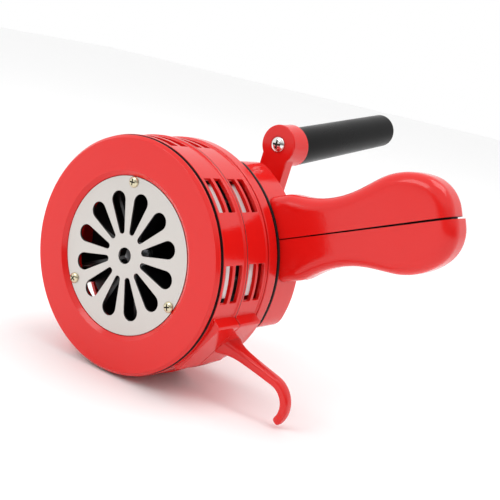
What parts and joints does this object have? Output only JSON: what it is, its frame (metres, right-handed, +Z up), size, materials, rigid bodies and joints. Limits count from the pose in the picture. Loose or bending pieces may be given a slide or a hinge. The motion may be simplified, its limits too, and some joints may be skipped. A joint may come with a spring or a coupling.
{
  "type": "hand crank siren",
  "caption": "Hand-held siren with a round slotted drum, a petal grille, a peanut-shaped side handle, a hanging hook and a rear crank that spins the rotor inside.",
  "frame": {"origin": "on the table, under the middle of the siren's bounding box", "axes": "+Y runs from the grille back along the drum's axis to the crank, +Z is up, and the handle points to +X and up"},
  "size_m": [0.204, 0.184, 0.1481],
  "materials": {
    "red_enamel": "glossy red enamel on die-cast aluminium",
    "stainless": "stainless steel sheet, finely brushed",
    "zinc": "yellow zinc-plated steel",
    "nickel": "nickel-plated steel",
    "steel": "plain machined steel",
    "bronze": "machined bearing bronze",
    "rotor_alloy": "turned and cast bare aluminium",
    "knob_black": "black plastic, satin"
  },
  "bodies": {
    "body": {"front_cover": "red_enamel", "grille_plate": "stainless", "grille_screws": "zinc", "front_casing": "red_enamel", "rear_casing": "red_enamel", "rear_flange": "red_enamel", "flange_screws": "steel", "front_bearing": "steel", "rear_bearing": "steel", "gear_housing": "red_enamel", "housing_screws": "steel", "crank_bush": "bronze", "idler_pin": "steel", "handle_upper_shell": "red_enamel", "handle_lower_shell": "red_enamel", "handle_screws": "steel"},
    "rotor": {"rotor_shaft": "steel", "rotor_wheel": "rotor_alloy", "rotor_washer": "steel", "rotor_nut": "steel", "rotor_pinion": "steel"},
    "idler": {"idler_gear": "steel", "idler_pinion": "steel"},
    "crank": {"crank_shaft": "steel", "crank_gear": "steel", "crank_arm": "red_enamel", "crank_nut": "steel", "knob_spindle": "steel", "spindle_screw": "nickel"},
    "knob": {"knob_sleeve": "knob_black", "knob_cap": "knob_black"}
  },
  "joints": [
    {"name": "crank_spin", "type": "hinge", "parent": "body", "child": "crank", "pos_m": [-0.02329, -0.0298, 0.06766], "axis": [0, 1, 0], "continuous": true},
    {"name": "idler_spin", "type": "hinge", "parent": "body", "child": "idler", "pos_m": [-0.04582, -0.0348, 0.08143], "axis": [0, 1, 0], "continuous": true},
    {"name": "rotor_spin", "type": "hinge", "parent": "body", "child": "rotor", "pos_m": [-0.04185, -0.0598, 0.0602], "axis": [0, 1, 0], "continuous": true},
    {"name": "knob_spin", "type": "hinge", "parent": "crank", "child": "knob", "pos_m": [-0.01749, -0.00146, 0.12396], "axis": [0.0167, 0.9867, 0.1616], "continuous": true}
  ],
  "couplings": [
    {"joint": "idler_spin", "follows": "crank_spin", "ratio": -4.5},
    {"joint": "rotor_spin", "follows": "crank_spin", "ratio": 15.75}
  ]
}
